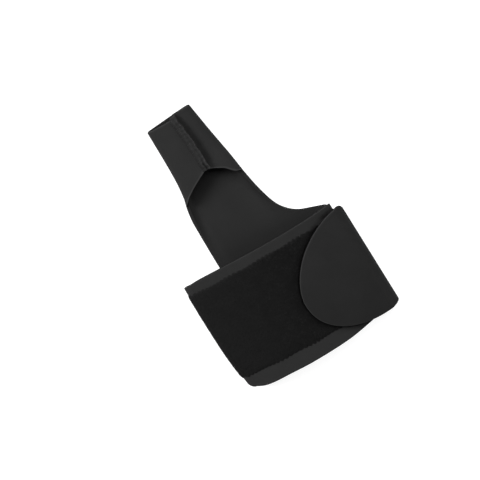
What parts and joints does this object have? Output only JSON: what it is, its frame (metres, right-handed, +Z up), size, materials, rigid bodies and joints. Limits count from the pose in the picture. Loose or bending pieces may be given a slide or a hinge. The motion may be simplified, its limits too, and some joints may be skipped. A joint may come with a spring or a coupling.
{
  "type": "thumb spica splint",
  "caption": "Soft thumb and wrist brace lying closed: a flat cuff with a loop-faced strap and round closing tab, and a rolled thumb sleeve joined by a raised seam.",
  "frame": {"origin": "middle of the ground that the splint covers, on the surface that it lies on", "axes": "+Y along the forearm towards the thumb sleeve's mouth, +X across the cuff towards the tab's fold, +Z up off the back wall"},
  "size_m": [0.1086, 0.1714, 0.0265],
  "materials": {
    "foam_jersey": "matt black jersey on thin foam",
    "loop_pile": "short black loop pile, very matt",
    "hook_tape": "black woven hook tape",
    "seam_thread": "black overlocked polyester thread"
  },
  "bodies": {
    "root": {"brace_body": "foam_jersey", "loop_field": "loop_pile", "hook_patch": "hook_tape", "thumb_seam": "seam_thread"}
  },
  "joints": []
}
